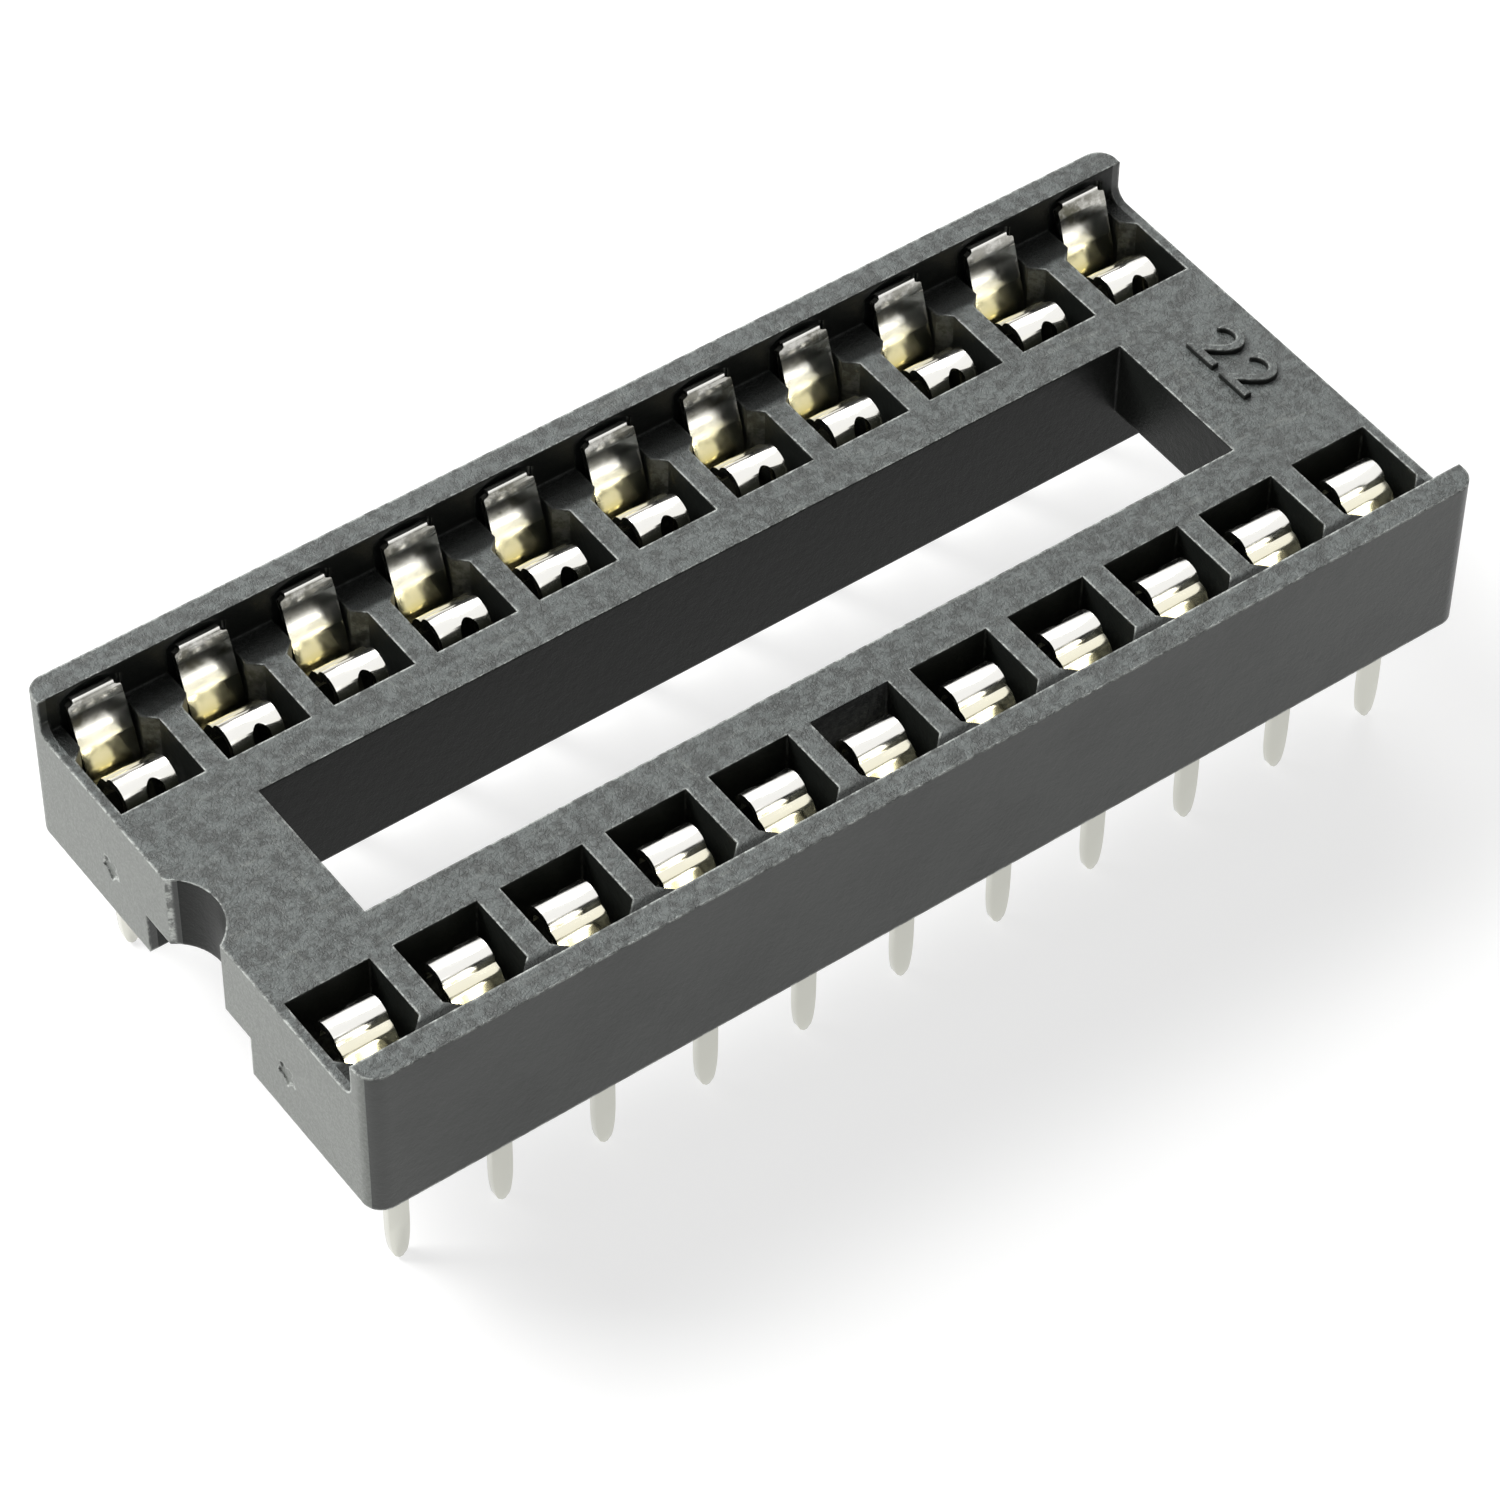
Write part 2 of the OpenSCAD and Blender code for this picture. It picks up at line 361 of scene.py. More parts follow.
        # painted light: the end faces turn mostly pale grey, broken by a fine speckle
        end_light_speckle = sheet.ramp(speck, "Result", 0.0, 1.0, 0.72, 1.0)
        painted_end_light_share = sheet.math("MULTIPLY", (end_face, 0), (end_light_speckle, "Result"))
        return sheet.mix((painted_end_light_share, 0), (scratched, 2), self.scratch_and_painted_end_light)

    def wear_and_highlight(self, sheet: NodeSheet, shape: bpy.types.Node, edge: bpy.types.Node,
             mottle: bpy.types.Node) -> bpy.types.Node:
        """Finds the broken pale line along the edges, partly worn flash and partly a painted
        highlight.

        Args:
            sheet: The material's nodes.
            shape: The geometry node.
            edge: The rounded normal.
            mottle: Mottled pattern that breaks the line.

        Returns:
            The share node.
        """
        turn = sheet.add("ShaderNodeVectorMath", operation="DOT_PRODUCT")
        sheet.link(edge, "Normal", turn, 0)
        sheet.link(shape, "True Normal", turn, 1)
        rim = sheet.ramp(turn, "Value", 0.995, 0.90)
        broken = sheet.ramp(mottle, "Fac", 0.40, 0.60, 0.15, 1.0)
        wear_and_highlight = sheet.math("MULTIPLY", (rim, "Result"), (broken, "Result"))
        return sheet.math("MULTIPLY", (wear_and_highlight, 0), self.wear_and_highlight_share)

    def relief(self, sheet: NodeSheet, edge: bpy.types.Node, upward: bpy.types.Node,
               mottle: bpy.types.Node, scratch: bpy.types.Node,
               grain: bpy.types.Node) -> bpy.types.Node:
        """Stacks the pits, scratches, peel and grain on the rounded normal.

        Args:
            sheet: The material's nodes.
            edge: The rounded normal.
            upward: Mask of the faces that look up.
            mottle: Mottled pattern.
            scratch: Scratch pattern along the rows.
            grain: Fine grain pattern.

        Returns:
            The last bump node.
        """
        coarse = sheet.bump((mottle, "Fac"), self.pitting, 0.5, edge)
        lined = sheet.bump((scratch, "Fac"), self.scratch_depth, 0.4, coarse)
        peel = sheet.noise(8500.0, 2.0, 0.55, offset=(0.2, 0.6, 0.9))
        folds = sheet.math("SUBTRACT", (peel, "Fac"), 0.5)
        ridge = sheet.math("ABSOLUTE", (folds, 0), 0.0)
        worm = sheet.ramp(ridge, 0, 0.0, 0.10)
        on_top = sheet.math("MULTIPLY", (worm, "Result"), (upward, "Result"))
        pitted = sheet.bump((on_top, 0), self.peel_depth, 0.5, lined)
        return sheet.bump((grain, "Fac"), self.grain_depth, 0.5, pitted)

    def build(self) -> bpy.types.Material:
        """Builds the material.

        Returns:
            The finished material.
        """
        sheet = NodeSheet(self.name)
        shape = sheet.add("ShaderNodeNewGeometry")
        axes = sheet.add("ShaderNodeSeparateXYZ")
        sheet.link(shape, "True Normal", axes, "Vector")
        place = sheet.add("ShaderNodeSeparateXYZ")
        sheet.link(sheet.coords, "Object", place, "Vector")
        reach = sheet.math("ABSOLUTE", (place, "X"), 0.0)
        upward = self.top_mask(sheet, axes)
        end_face = self.end_mask(sheet, axes, reach)
        painted_shade = self.painted_shade_mask(sheet, place, reach, upward)
        mottle = sheet.noise(4000.0, 7.0, 0.70)
        scratch = sheet.noise(5200.0, 5.0, 0.7, stretch=(0.16, 1.0, 1.0))
        grain = sheet.noise(16000.0, 3.0, 0.6)
        edge = sheet.add("ShaderNodeBevel", samples=6)
        edge.inputs["Radius"].default_value = self.edge_radius
        tones = self.tones(sheet, upward, end_face, mottle, scratch, grain)
        # pale edge line: partly worn flash, partly a painted highlight
        wear_and_highlight = self.wear_and_highlight(sheet, shape, edge, mottle)
        colour = sheet.mix((wear_and_highlight, 0), (tones, 2), self.worn_and_highlit)
        # painted shade: darkens the cavity and window walls and the shadowed ledges, and lowers
        # their gloss
        painted_shade_share = sheet.math("MULTIPLY", (painted_shade, 0), self.painted_shade_share)
        shaded = sheet.mix((painted_shade_share, 0), (colour, 2), self.painted_shade)
        sheet.link(shaded, 2, sheet.shader, "Base Color")
        gloss = sheet.ramp(painted_shade, 0, 0.0, 1.0, self.plain_gloss, self.inner_gloss)
        sheet.link(gloss, "Result", sheet.shader, "Specular IOR Level")
        rough = sheet.ramp(upward, "Result", 0.0, 1.0, self.side_roughness, self.top_roughness)
        sheet.link(rough, "Result", sheet.shader, "Roughness")
        relief = self.relief(sheet, edge, upward, mottle, scratch, grain)
        sheet.link(relief, "Normal", sheet.shader, "Normal")
        return sheet.material


@dataclass(frozen=True)
class TinFinish:
    """Bright tin plating: bare tails, lower leaves tinted warm as a painted reflection, clear
    middle, stained tab.
    """

    name: str = "bright_tin_plate"
    clear: Colour = (0.90, 0.89, 0.85)
    # painted reflection: warm tint on the lower leaves that stands for warm light bounced inside
    # the slot
    painted_warm_reflection: Colour = (0.90, 0.86, 0.67)
    stain: Colour = (0.13, 0.125, 0.095)
    bare: Colour = (0.66, 0.66, 0.60)
    roughness: float = 0.15
    bare_below_z: float = 3.4 * MM
    bare_blend: float = 0.4 * MM
    warm_reflection_below_z: float = 6.1 * MM
    clear_above_z: float = 6.42 * MM
    stain_from_z: float = 6.68 * MM
    stain_full_z: float = 6.84 * MM
    stain_end_z: float = 7.30 * MM
    stain_blend: float = 0.06 * MM
    ripple_depth: float = 0.005 * MM
    drawn_depth: float = 0.0006 * MM

    def build(self) -> bpy.types.Material:
        """Builds the material.

        Returns:
            The finished material.
        """
        sheet = NodeSheet(self.name)
        place = sheet.add("ShaderNodeSeparateXYZ")
        sheet.link(sheet.coords, "Object", place, "Vector")
        cloudy = sheet.noise(2400.0, 5.0, 0.65)
        slow = sheet.noise(700.0, 3.0, 0.5, offset=(0.3, 0.9, 0.1))
        drawn = sheet.noise(9000.0, 3.0, 0.6, stretch=(1.0, 0.10, 0.10))
        # painted reflection: the leaves turn warm below this height
        lift = sheet.ramp(place, "Z", self.warm_reflection_below_z, self.clear_above_z)
        leaf = sheet.mix((lift, "Result"), self.painted_warm_reflection, self.clear)
        above = sheet.ramp(place, "Z", self.bare_below_z, self.bare_below_z + self.bare_blend)
        plate = sheet.mix((above, "Result"), self.bare, (leaf, 2))
        rise = sheet.ramp(place, "Z", self.stain_from_z, self.stain_full_z)
        fall = sheet.ramp(place, "Z", self.stain_end_z, self.stain_end_z + self.stain_blend,
                          1.0, 0.0)
        band = sheet.math("MULTIPLY", (rise, "Result"), (fall, "Result"))
        blotch = sheet.ramp(cloudy, "Fac", 0.36, 0.60, 0.55, 1.0)
        spread = sheet.ramp(slow, "Fac", 0.35, 0.65, 0.65, 1.0)
        stained = sheet.math("MULTIPLY", (band, 0), (blotch, "Result"))
        stain = sheet.math("MULTIPLY", (stained, 0), (spread, "Result"))
        colour = sheet.mix((stain, 0), (plate, 2), self.stain)
        sheet.link(colour, 2, sheet.shader, "Base Color")
        sheet.shader.inputs["Metallic"].default_value = 1.0
        rough = sheet.ramp(cloudy, "Fac", 0.3, 0.7, self.roughness - 0.03, self.roughness + 0.06)
        sheet.link(rough, "Result", sheet.shader, "Roughness")
        ripple = sheet.bump((slow, "Fac"), self.ripple_depth, 0.2)
        lines = sheet.bump((drawn, "Fac"), self.drawn_depth, 0.4, ripple)
        sheet.link(lines, "Normal", sheet.shader, "Normal")
        return sheet.material


@dataclass(frozen=True)
class LampPlan:
    """Place, side and power of one soft square lamp."""

    lamp: Lamp
    at: Point
    size: float
    power: float


@dataclass
class Studio:
    """Pale floor, white surround, soft lamps and the camera."""

    camera_at: Point = (-48.204 * MM, -64.566 * MM, 92.755 * MM)
    forward: Point = (0.39673, 0.53429, -0.74642)
    right: Point = (0.80957, -0.58693, 0.01017)
    lens: float = 136.70
    floor_colour: Colour = (0.34, 0.34, 0.335)
    floor_glow: float = 0.74
    floor_size: float = 1.2
    floor_roughness: float = 0.7
    floor_specular: float = 0.1
    surround_light: float = 0.08
    surround_white: float = 1.0
    aim: Point = (0.0, 0.0, 0.005)
    lamps: Tuple[LampPlan, ...] = (
        LampPlan(Lamp.KEY, (-0.15, 0.18, 0.25), 0.18, 1.6),
        LampPlan(Lamp.FILL, (-0.10, -0.28, 0.16), 0.25, 0.06),
        LampPlan(Lamp.BACK, (0.13, 0.19, 0.25), 0.22, 0.45),
    )

    def build_camera(self) -> bpy.types.Object:
        """Places the camera and makes it the scene's own.

        Returns:
            The camera object.
        """
        data = bpy.data.cameras.new("view_camera")
        data.lens = self.lens
        data.sensor_width = 36.0
        data.clip_start = 0.005
        data.clip_end = 10.0
        cam = bpy.data.objects.new("view_camera", data)
        bpy.context.scene.collection.objects.link(cam)
        ahead = Vector(self.forward).normalized()
        side = Vector(self.right).normalized()
        up = side.cross(ahead).normalized()
        side = ahead.cross(up).normalized()
        turn = Matrix((side, up, -ahead)).transposed().to_4x4()
        cam.matrix_world = Matrix.Translation(Vector(self.camera_at)) @ turn
        bpy.context.scene.camera = cam
        return cam

    def build_floor(self) -> bpy.types.Object:
        """Makes the pale, softly glowing floor that keeps the shadow.

        Returns:
            The floor object.
        """
        deselect_all()
        bpy.ops.mesh.primitive_plane_add(size=self.floor_size, location=(0.0, 0.0, 0.0))
        floor = bpy.context.object
        floor.name = "floor"
        sheet = NodeSheet("floor_paper")
        sheet.shader.inputs["Base Color"].default_value = (*self.floor_colour, 1.0)
        sheet.shader.inputs["Emission Color"].default_value = (1.0, 1.0, 1.0, 1.0)
        sheet.shader.inputs["Emission Strength"].default_value = self.floor_glow
        sheet.shader.inputs["Roughness"].default_value = self.floor_roughness
        sheet.shader.inputs["Specular IOR Level"].default_value = self.floor_specular
        floor.data.materials.append(sheet.material)
        return floor

    def build_world(self) -> None:
        """Sets a white surround for the camera and reflections, plain light for the rest."""
        world = bpy.data.worlds.new("white_surround")
        bpy.context.scene.world = world
        world.use_nodes = True
        tree = world.node_tree
        tree.nodes.clear()
        out = tree.nodes.new("ShaderNodeOutputWorld")
        path = tree.nodes.new("ShaderNodeLightPath")
        plain = tree.nodes.new("ShaderNodeBackground")
        plain.inputs["Color"].default_value = (1.0, 1.0, 1.0, 1.0)
        plain.inputs["Strength"].default_value = self.surround_light
        white = tree.nodes.new("ShaderNodeBackground")
        white.inputs["Color"].default_value = (1.0, 1.0, 1.0, 1.0)
        white.inputs["Strength"].default_value = self.surround_white
        seen = tree.nodes.new("ShaderNodeMath")
        seen.operation = "MAXIMUM"
        tree.links.new(path.outputs["Is Camera Ray"], seen.inputs[0])
        tree.links.new(path.outputs["Is Glossy Ray"], seen.inputs[1])
        seen2 = tree.nodes.new("ShaderNodeMath")
        seen2.operation = "MAXIMUM"
        tree.links.new(seen.outputs[0], seen2.inputs[0])
        tree.links.new(path.outputs["Is Transmission Ray"], seen2.inputs[1])
        mix = tree.nodes.new("ShaderNodeMixShader")
        tree.links.new(seen2.outputs[0], mix.inputs[0])
        tree.links.new(plain.outputs[0], mix.inputs[1])
        tree.links.new(white.outputs[0], mix.inputs[2])
        tree.links.new(mix.outputs[0], out.inputs["Surface"])

    def build_lamp(self, plan: LampPlan) -> bpy.types.Object:
        """Adds one soft square lamp aimed at the middle of the socket.

        Args:
            plan: Which lamp it is, with its place, side and power.

        Returns:
            The lamp object.
        """
        data = bpy.data.lights.new(plan.lamp.value, "AREA")
        data.shape = "SQUARE"
        data.size = plan.size
        data.energy = plan.power
        obj = bpy.data.objects.new(plan.lamp.value, data)
        bpy.context.scene.collection.objects.link(obj)
        towards = Vector(self.aim) - Vector(plan.at)
        obj.rotation_euler = towards.to_track_quat("-Z", "Y").to_euler()
        obj.location = plan.at
        return obj

    def build(self) -> None:
        """Builds the whole stage."""
        self.build_camera()
        self.build_floor()
        self.build_world()
        for plan in self.lamps:
            self.build_lamp(plan)


def deselect_all() -> None:
    """Clears the selection and the active object."""
    for obj in list(bpy.context.selected_objects):
        obj.select_set(False)
    bpy.context.view_layer.objects.active = None


def pick(piece: bpy.types.Object) -> None:
    """Selects one piece alone and makes it active.

    Args:
        piece: The piece.
    """
    deselect_all()
    piece.select_set(True)
    bpy.context.view_layer.objects.active = piece


def merge_faces(piece: bpy.types.Object) -> None:
    """Joins doubled points and dissolves the edges inside flat faces.

    Args:
        piece: The piece.
    """
    pick(piece)
    bpy.ops.object.mode_set(mode="EDIT")
    bpy.ops.mesh.select_all(action="SELECT")
    bpy.ops.mesh.remove_doubles(threshold=MERGE)
    bpy.ops.mesh.dissolve_limited(angle_limit=FLAT_ANGLE)
    bpy.ops.object.mode_set(mode="OBJECT")


def piece_from_merged(node: bpy.types.Object, name: str) -> bpy.types.Object:
    """Copies a node's mesh and joins its loose triangles into whole faces.

    Args:
        node: The solid to copy.
        name: The new piece's name.

    Returns:
        The merged copy, at the origin and unscaled.
    """
    mesh = node.data.copy()
    mesh.transform(node.matrix_world)
    piece = bpy.data.objects.new(name, mesh)
    bpy.context.scene.collection.objects.link(piece)
    merge_faces(piece)
    return piece


def finish_piece(piece: bpy.types.Object, material: bpy.types.Material,
                 angle: float = 35.0) -> None:
    """Shades, dresses and mounts a finished piece.

    Args:
        piece: The piece.
        material: Its material.
        angle: Edges sharper than this stay sharp, in degrees.
    """
    pick(piece)
    bpy.ops.object.shade_smooth_by_angle(angle=math.radians(angle))
    level = piece.modifiers.new("level", "WEIGHTED_NORMAL")
    level.mode = "FACE_AREA"
    level.weight = 100
    level.keep_sharp = True
    bpy.ops.object.modifier_apply(modifier=level.name)
    piece.data.materials.clear()
    piece.data.materials.append(material)
    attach(piece, "root")


@dataclass(frozen=True)
class BodySize:
    """Sizes of the moulded body that the looks share, in millimetres."""

    half_l: float = 13.92
    half_w: float = 6.35
    seat_z: float = 6.61
    pitch: float = 2.54
    row_count: int = 11
    cavity_half_l: float = 0.995
    cavity_reach: float = 3.35
    corner_cut: float = 0.1
    mark_y: float = 3.27
    mark_z: float = 4.83
    mark_r: float = 0.42
    tail_y: float = 1.27
    rail_h: float = 3.11
    tail_l: float = 3.5
    floor_t: float = 0.6

    def cavity_x(self, column: int) -> float:
        """Gives the middle of one cavity along the row.

        Args:
            column: Cavity number from the left, from 0.

        Returns:
            Its x in millimetres.
        """
        return (column - (self.row_count - 1) / 2) * self.pitch


@dataclass
class Housing:
    """The moulded body and what is moulded on it."""

    size: BodySize = field(default_factory=BodySize)
    finish: PlasticFinish = field(default_factory=PlasticFinish)
    digit_height: float = 1.26
    digit_stretch: float = 1.14
    digit_spacing: float = 1.13
    digit_rise: float = 0.10
    digit_x: float = 12.66
    digit_y: float = 0.09
    digit_lift: float = 0.04
    digit_root: float = 0.02
    digit_thinning: float = 0.02
    digit_edge: float = 0.035
    mark_share: float = 0.62
    match: float = 0.004

    def sharpen_corners(self, piece: bpy.types.Object) -> None:
        """Draws the small corner cuts of the cavities out to square corners.

        Args:
            piece: The merged body.
        """
        size = self.size
        near = self.match
        for vertex in piece.data.vertices:
            x, y, _ = (c / MM for c in vertex.co)
            depth = size.half_w - abs(y)
            column = round(x / size.pitch)
            across = abs(x - column * size.pitch)
            side = across - size.cavity_half_l
            front = depth - size.cavity_reach
            on_side = abs(side) < near and abs(front + size.corner_cut) < near
            on_front = abs(front) < near and abs(side + size.corner_cut) < near
            if on_side or on_front:
                sign = 1.0 if x > column * size.pitch else -1.0
                vertex.co.x = (column * size.pitch + sign * size.cavity_half_l) * MM
                vertex.co.y = math.copysign(size.half_w - size.cavity_reach, y) * MM

    def shrink_marks(self, piece: bpy.types.Object) -> None:
        """Makes the round marks on the notched end smaller and a little ragged.

        Args:
            piece: The merged body.
        """
        size = self.size
        for vertex in piece.data.vertices:
            x, y, z = (c / MM for c in vertex.co)
            if x > -size.half_l + 0.1:
                continue
            middle = math.copysign(size.mark_y, y)
            off = math.hypot(y - middle, z - size.mark_z)
            if off < size.mark_r + 0.01:
                turn = math.atan2(z - size.mark_z, y - middle)
                wave = 0.22 * math.sin(5 * turn + middle) + 0.1 * math.sin(11 * turn)
                ragged = self.mark_share * (1.0 + wave)
                vertex.co.y = (middle + (y - middle) * ragged) * MM
                vertex.co.z = (size.mark_z + (z - size.mark_z) * ragged) * MM

    def build_body(self, material: bpy.types.Material) -> bpy.types.Object:
        """Builds the body from the merged solid and swaps it in.

        Args:
            material: The plastic.

        Returns:
            The body piece.
        """
        node = frame["nodes"]["housing"]
        piece = piece_from_merged(node, "housing_body")
        self.sharpen_corners(piece)
        self.shrink_marks(piece)
        merge_faces(piece)
        finish_piece(piece, material)
        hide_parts("housing")
        LOG.info("housing_body: %d faces", len(piece.data.polygons))
        return piece

    def build_number(self, material: bpy.types.Material) -> bpy.types.Object:
        """Builds the raised contact count on the plain bridge.

        Args:
            material: The plastic.

        Returns:
            The number piece.
        """
        deselect_all()
        bpy.ops.object.text_add(location=(0.0, 0.0, 0.0))
        piece = bpy.context.object
        piece.name = "contact_count"
        piece.data.body = str(2 * self.size.row_count)
        piece.data.align_x = "CENTER"
        piece.data.space_character = self.digit_spacing
        piece.data.align_y = "CENTER"
        piece.data.size = self.digit_height / CAP_SHARE
        piece.data.extrude = self.digit_rise / 2 + self.digit_root
        piece.data.offset = -self.digit_thinning
        piece.data.bevel_depth = self.digit_edge
        piece.data.bevel_resolution = 2
        piece.data.resolution_u = 8
        bpy.ops.object.convert(target="MESH")
        piece = bpy.context.object
        piece.location = (self.digit_x * MM, self.digit_y * MM,
                          (self.size.seat_z + self.digit_lift) * MM)
        piece.rotation_euler = (0.0, 0.0, math.radians(-90.0))
        piece.scale = (self.digit_stretch * MM, MM, MM)
        bpy.ops.object.transform_apply(location=True, rotation=True, scale=True)
        finish_piece(piece, material, 40.0)
        LOG.info("contact_count: %d faces", len(piece.data.polygons))
        return piece

    def build(self) -> None:
        """Builds the body and its number."""
        material = self.finish.build()
        self.build_body(material)
        self.build_number(material)


@dataclass(frozen=True)
class Corner:
    """One corner of a bent strip's centre line, in millimetres.

    The place is the distance in from the outer face and the height above the seat.
    """

    y: float
    z: float
    radius: float = 0.0


def rounded_line(corners: Sequence[Corner], steps: int = 8) -> List[Tuple[float, float]]:
    """Rounds the corners of a centre line.

    Args:
        corners: Corner points and their bend radii.
        steps: Steps in each bend.

    Returns:
        Points along the line.
    """
    line = [(corners[0].y, corners[0].z)]
    for before, corner, after in zip(corners, corners[1:], corners[2:]):
        middle = Vector((corner.y, corner.z))
        u = (Vector((before.y, before.z)) - middle).normalized()
        v = (Vector((after.y, after.z)) - middle).normalized()
        half = math.acos(max(-1.0, min(1.0, u.dot(v)))) / 2
        back = corner.radius / math.tan(half)
        centre = middle + (u + v).normalized() * (corner.radius / math.sin(half))
        start = middle + u * back - centre
        end = middle + v * back - centre
        cross = start.x * end.y - start.y * end.x
        turn = math.copysign(start.angle(end), cross)
        for step in range(steps + 1):
            t = turn * step / steps
            line.append((centre.x + start.x * math.cos(t) - start.y * math.sin(t),
                         centre.y + start.x * math.sin(t) + start.y * math.cos(t)))
    line.append((corners[-1].y, corners[-1].z))
    return line


def widths_at(line: Sequence[Tuple[float, float]],
              outline: Sequence[Tuple[float, float]]) -> List[Tuple[float, float, float]]:
    """Gives each row of a falling strip its half width, adding a row at each outline step.

    Args:
        line: Centre line from the top down.
        outline: Heights and half widths from the top down.

    Returns:
        Rows of distance in, height and half width.
    """
    on_line = {round(z, 5) for _, z in line}
    on_outline = {round(z, 5) for z, _ in outline}
    heights = sorted(on_line | on_outline, reverse=True)
    rows = []
    for z in heights:
        if z > line[0][1] + 1e-6 or z < line[-1][1] - 1e-6:
            continue
        rows.append((value_at([(b, a) for a, b in line], z), z, value_at(outline, z)))
    return rows


def value_at(pairs: Sequence[Tuple[float, float]], z: float) -> float:
    """Reads a falling table at one height.

    Args:
        pairs: Heights and values, highest first.
        z: The height.

    Returns:
        The value there.
    """
    for (z0, a), (z1, b) in zip(pairs, pairs[1:]):
        if z1 - 1e-7 <= z <= z0 + 1e-7:
            share = 0.0 if z0 - z1 < 1e-9 else (z0 - z) / (z0 - z1)
            return a + (b - a) * share
    return pairs[0][1] if z > pairs[0][0] else pairs[-1][1]


def extrude_strip(name: str, rows: Sequence[Tuple[float, float, float]], thickness: float,
                  edge: float) -> bpy.types.Object:
    """Extrudes a strip row by row, then gives it thickness and soft edges.

    Args:
        name: The piece's name.
        rows: Distance in, height and half width of each row, in millimetres.
        thickness: Strip thickness.
        edge: Width of the rounded edges, or 0 for none.

    Returns:
        The strip, still in millimetres.
    """
    deselect_all()
    bpy.ops.mesh.primitive_plane_add(size=2.0, location=(0.0, 0.0, 0.0))
    piece = bpy.context.object
    piece.name = name
    bpy.ops.object.mode_set(mode="EDIT")
    bpy.ops.mesh.select_all(action="DESELECT")
    body = bmesh.from_edit_mesh(piece.data)
    for vertex in body.verts:
        vertex.select = vertex.co.y > 0
    body.select_flush_mode()
    bmesh.update_edit_mesh(piece.data)
    bpy.ops.mesh.delete(type="VERT")
    bpy.ops.mesh.select_all(action="SELECT")
    y, z, half = rows[0]
    bpy.ops.transform.resize(value=(half, 1.0, 1.0), center_override=(0.0, 0.0, 0.0))
    bpy.ops.transform.translate(value=(0.0, y + 1.0, z))
    for to_y, to_z, to_half in rows[1:]:
        bpy.ops.mesh.extrude_edges_move(
            TRANSFORM_OT_translate={"value": (0.0, to_y - y, to_z - z)})
        if abs(to_half - half) > 1e-9:
            bpy.ops.transform.resize(value=(to_half / half, 1.0, 1.0),
                                     center_override=(0.0, to_y, to_z))
        y, z, half = to_y, to_z, to_half
    bpy.ops.object.mode_set(mode="OBJECT")
    solid = piece.modifiers.new("thickness", "SOLIDIFY")
    solid.thickness = thickness
    solid.offset = 0.0
    solid.use_even_offset = True
    bpy.ops.object.modifier_apply(modifier=solid.name)
    if edge > 0:
        soften(piece, edge)
    return piece


def soften(piece: bpy.types.Object, edge: float, angle: float = 40.0) -> None:
    """Rounds a piece's sharp edges.

    Args:
        piece: The piece.
        edge: Width of the rounding.
        angle: Edges sharper than this are rounded, in degrees.
    """
    pick(piece)
    bevel = piece.modifiers.new("edges", "BEVEL")
    bevel.width = edge
    bevel.segments = 2
    bevel.limit_method = "ANGLE"
    bevel.angle_limit = math.radians(angle)
    bevel.use_clamp_overlap = True
    bpy.ops.object.modifier_apply(modifier=bevel.name)


def combine(piece: bpy.types.Object, tool: bpy.types.Object, kind: str) -> None:
    """Adds or takes away a tool shape, and deletes the tool.

    Args:
        piece: The piece that changes.
        tool: The shape to add or take away.
        kind: UNION or DIFFERENCE.
    """
    pick(piece)
    step = piece.modifiers.new("combine", "BOOLEAN")
    step.operation = kind
    step.solver = "EXACT"
    step.object = tool
    bpy.ops.object.modifier_apply(modifier=step.name)
    bpy.data.objects.remove(tool, do_unlink=True)


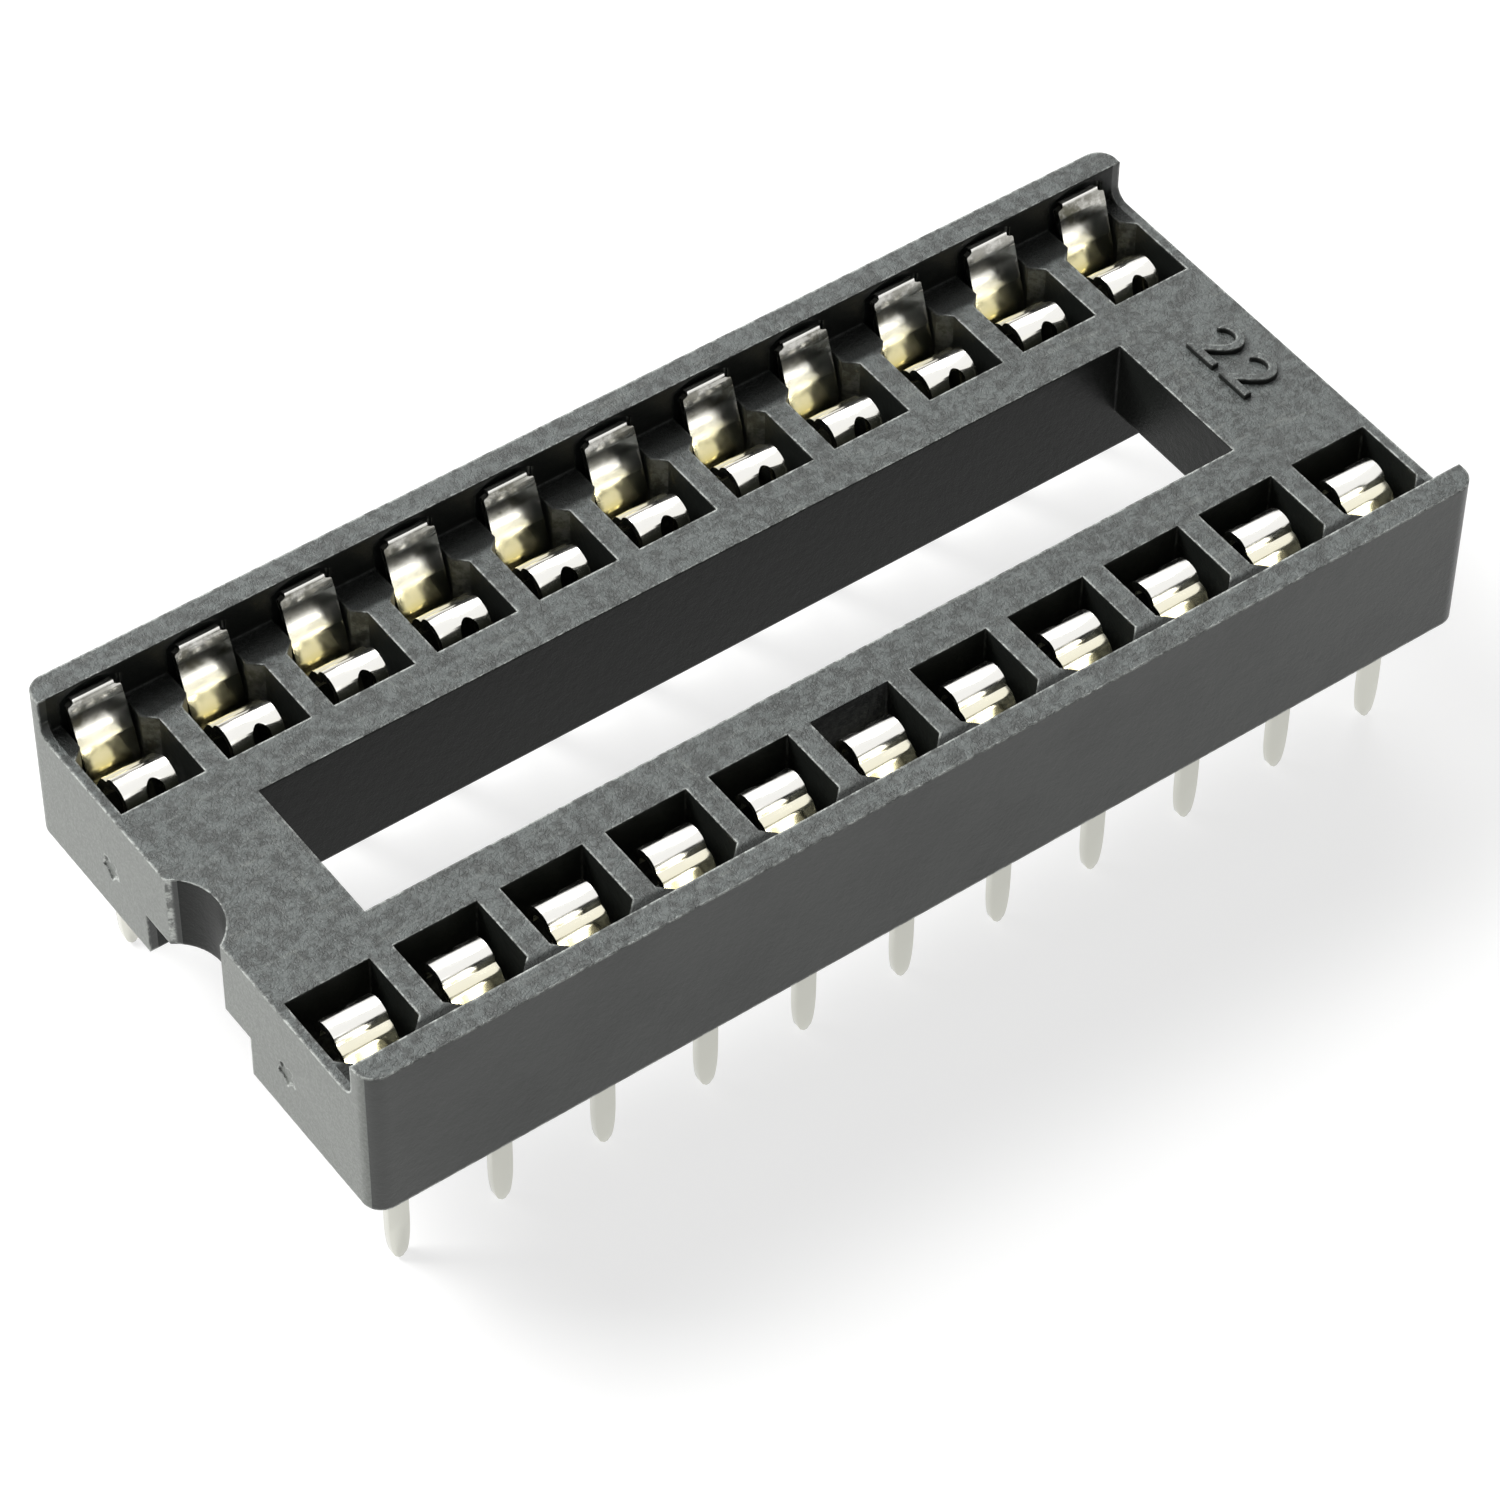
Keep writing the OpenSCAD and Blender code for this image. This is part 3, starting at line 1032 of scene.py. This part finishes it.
@dataclass
class ContactSet:
    """All the stamped contacts: outer leaf, rolled inner leaf and tail."""

    size: BodySize = field(default_factory=BodySize)
    finish: TinFinish = field(default_factory=TinFinish)
    strip_t: float = 0.2
    outer_half: float = 0.63
    inner_half: float = 0.61
    tab_half: float = 0.485
    tab_top: float = 0.73
    shoulder: float = 0.60
    hole_w: float = 0.42
    hole_top: float = -0.20
    hole_off: float = -0.09
    hole_y: float = 3.13
    hole_drop: float = 0.8
    waist_half: float = 0.44
    tail_half: float = 0.25
    tip_half: float = 0.1
    point_half: float = 0.04
    blunt: float = 0.067
    taper: float = 1.1
    slide: float = 0.02
    edge: float = 0.032

    def outer_rows(self) -> List[Tuple[float, float, float]]:
        """Gives the rows of the outer leaf and its tail.

        Returns:
            Rows of distance in, height and half width.
        """
        size = self.size
        tip = -size.rail_h - size.tail_l
        floor_top = -size.rail_h + size.floor_t
        line = rounded_line([
            Corner(0.67, self.tab_top), Corner(0.80, 0.42, 0.6), Corner(1.07, -0.40, 0.9),
            Corner(1.24, -0.90, 0.6), Corner(1.24, -1.30, 0.4), Corner(1.07, -1.70, 0.8),
            Corner(size.tail_y, floor_top + 0.2, 0.4), Corner(size.tail_y, tip)])
        outline = [(self.tab_top, self.tab_half), (self.shoulder + 0.05, self.tab_half),
                   (self.shoulder + 0.02, self.tab_half + 0.05),
                   (self.shoulder, self.outer_half - 0.02), (self.shoulder - 0.03, self.outer_half),
                   (-1.30, self.outer_half), (-1.70, self.waist_half),
                   (floor_top + 0.2, self.waist_half), (floor_top + 0.03, self.tail_half)]
        for step in range(9):
            a = math.radians(90.0 * step / 8)
            rise = self.blunt + (self.taper - self.blunt) * (1 - math.sin(a))
            outline.append((tip + rise,
                            self.tip_half + (self.tail_half - self.tip_half) * math.cos(a)))
        outline.append((tip, self.point_half))
        return widths_at(line, outline)

    def inner_rows(self) -> List[Tuple[float, float, float]]:
        """Gives the rows of the rolled inner leaf.

        Returns:
            Rows of distance in, height and half width.
        """
        size = self.size
        base = -size.rail_h + size.floor_t + self.strip_t / 2
        line = rounded_line([
            Corner(2.85, -0.69), Corner(2.80, -0.25, 0.34), Corner(2.29, -0.25, 0.238),
            Corner(2.19, -0.49, 0.12), Corner(1.98, -0.54, 0.16), Corner(1.58, -1.30, 0.2),
            Corner(2.05, base, 0.2), Corner(size.tail_y, base)])
        return [(y, z, self.inner_half) for y, z in line]

    def hole_tool(self) -> bpy.types.Object:
        """Makes the round-topped slot shape for the rolled end.

        Returns:
            The tool shape.
        """
        deselect_all()
        radius = self.hole_w / 2
        bpy.ops.mesh.primitive_cylinder_add(
            vertices=32, radius=radius, depth=1.0,
            location=(self.hole_off, self.hole_y, self.hole_top - radius),
            rotation=(math.radians(90.0), 0.0, 0.0))
        tool = bpy.context.object
        bpy.ops.object.transform_apply(location=True, rotation=True, scale=True)
        bpy.ops.object.mode_set(mode="EDIT")
        bpy.ops.mesh.select_all(action="DESELECT")
        body = bmesh.from_edit_mesh(tool.data)
        for vertex in body.verts:
            vertex.select = vertex.co.z < self.hole_top - radius - 1e-4
        body.select_flush_mode()
        bmesh.update_edit_mesh(tool.data)
        bpy.ops.transform.translate(value=(0.0, 0.0, -self.hole_drop))
        bpy.ops.object.mode_set(mode="OBJECT")
        return tool

    def build_one(self) -> bpy.types.Object:
        """Models one contact in its own frame, in millimetres.

        Returns:
            The contact.
        """
        outer = extrude_strip("contact_model", self.outer_rows(), self.strip_t, self.edge)
        inner = extrude_strip("inner_leaf", self.inner_rows(), self.strip_t, 0.0)
        combine(inner, self.hole_tool(), "DIFFERENCE")
        soften(inner, self.edge)
        combine(outer, inner, "UNION")
        return outer

    def build(self) -> None:
        """Models one contact and sets a copy in every cavity."""
        size = self.size
        material = self.finish.build()
        model = self.build_one()
        draw = random.Random(22)
        total = 2 * size.row_count
        for number in range(1, total + 1):
            front = number <= size.row_count
            column = number - 1 if front else total - number
            piece = model.copy()
            piece.data = model.data.copy()
            piece.name = "contact_%02d_strip" % number
            bpy.context.scene.collection.objects.link(piece)
            pick(piece)
            side = -1.0 if front else 1.0
            slide = draw.uniform(-self.slide, self.slide)
            piece.rotation_euler = (0.0, 0.0, 0.0 if front else math.pi)
            piece.location = ((size.cavity_x(column) + slide) * MM,
                              side * size.half_w * MM, size.seat_z * MM)
            piece.scale = (MM, MM, MM)
            bpy.ops.object.transform_apply(location=True, rotation=True, scale=True)
            finish_piece(piece, material)
            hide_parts("contact_%02d" % number)
            LOG.info("%s: %d faces", piece.name, len(piece.data.polygons))
        bpy.data.objects.remove(model, do_unlink=True)


def main() -> None:
    """Builds every class in order and reports each piece."""
    logging.basicConfig(level=logging.INFO, format="%(name)s: %(message)s")
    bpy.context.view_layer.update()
    bpy.context.scene.view_settings.view_transform = "Standard"
    Studio().build()
    Housing().build()
    ContactSet().build()


if __name__ == "__main__":
    main()
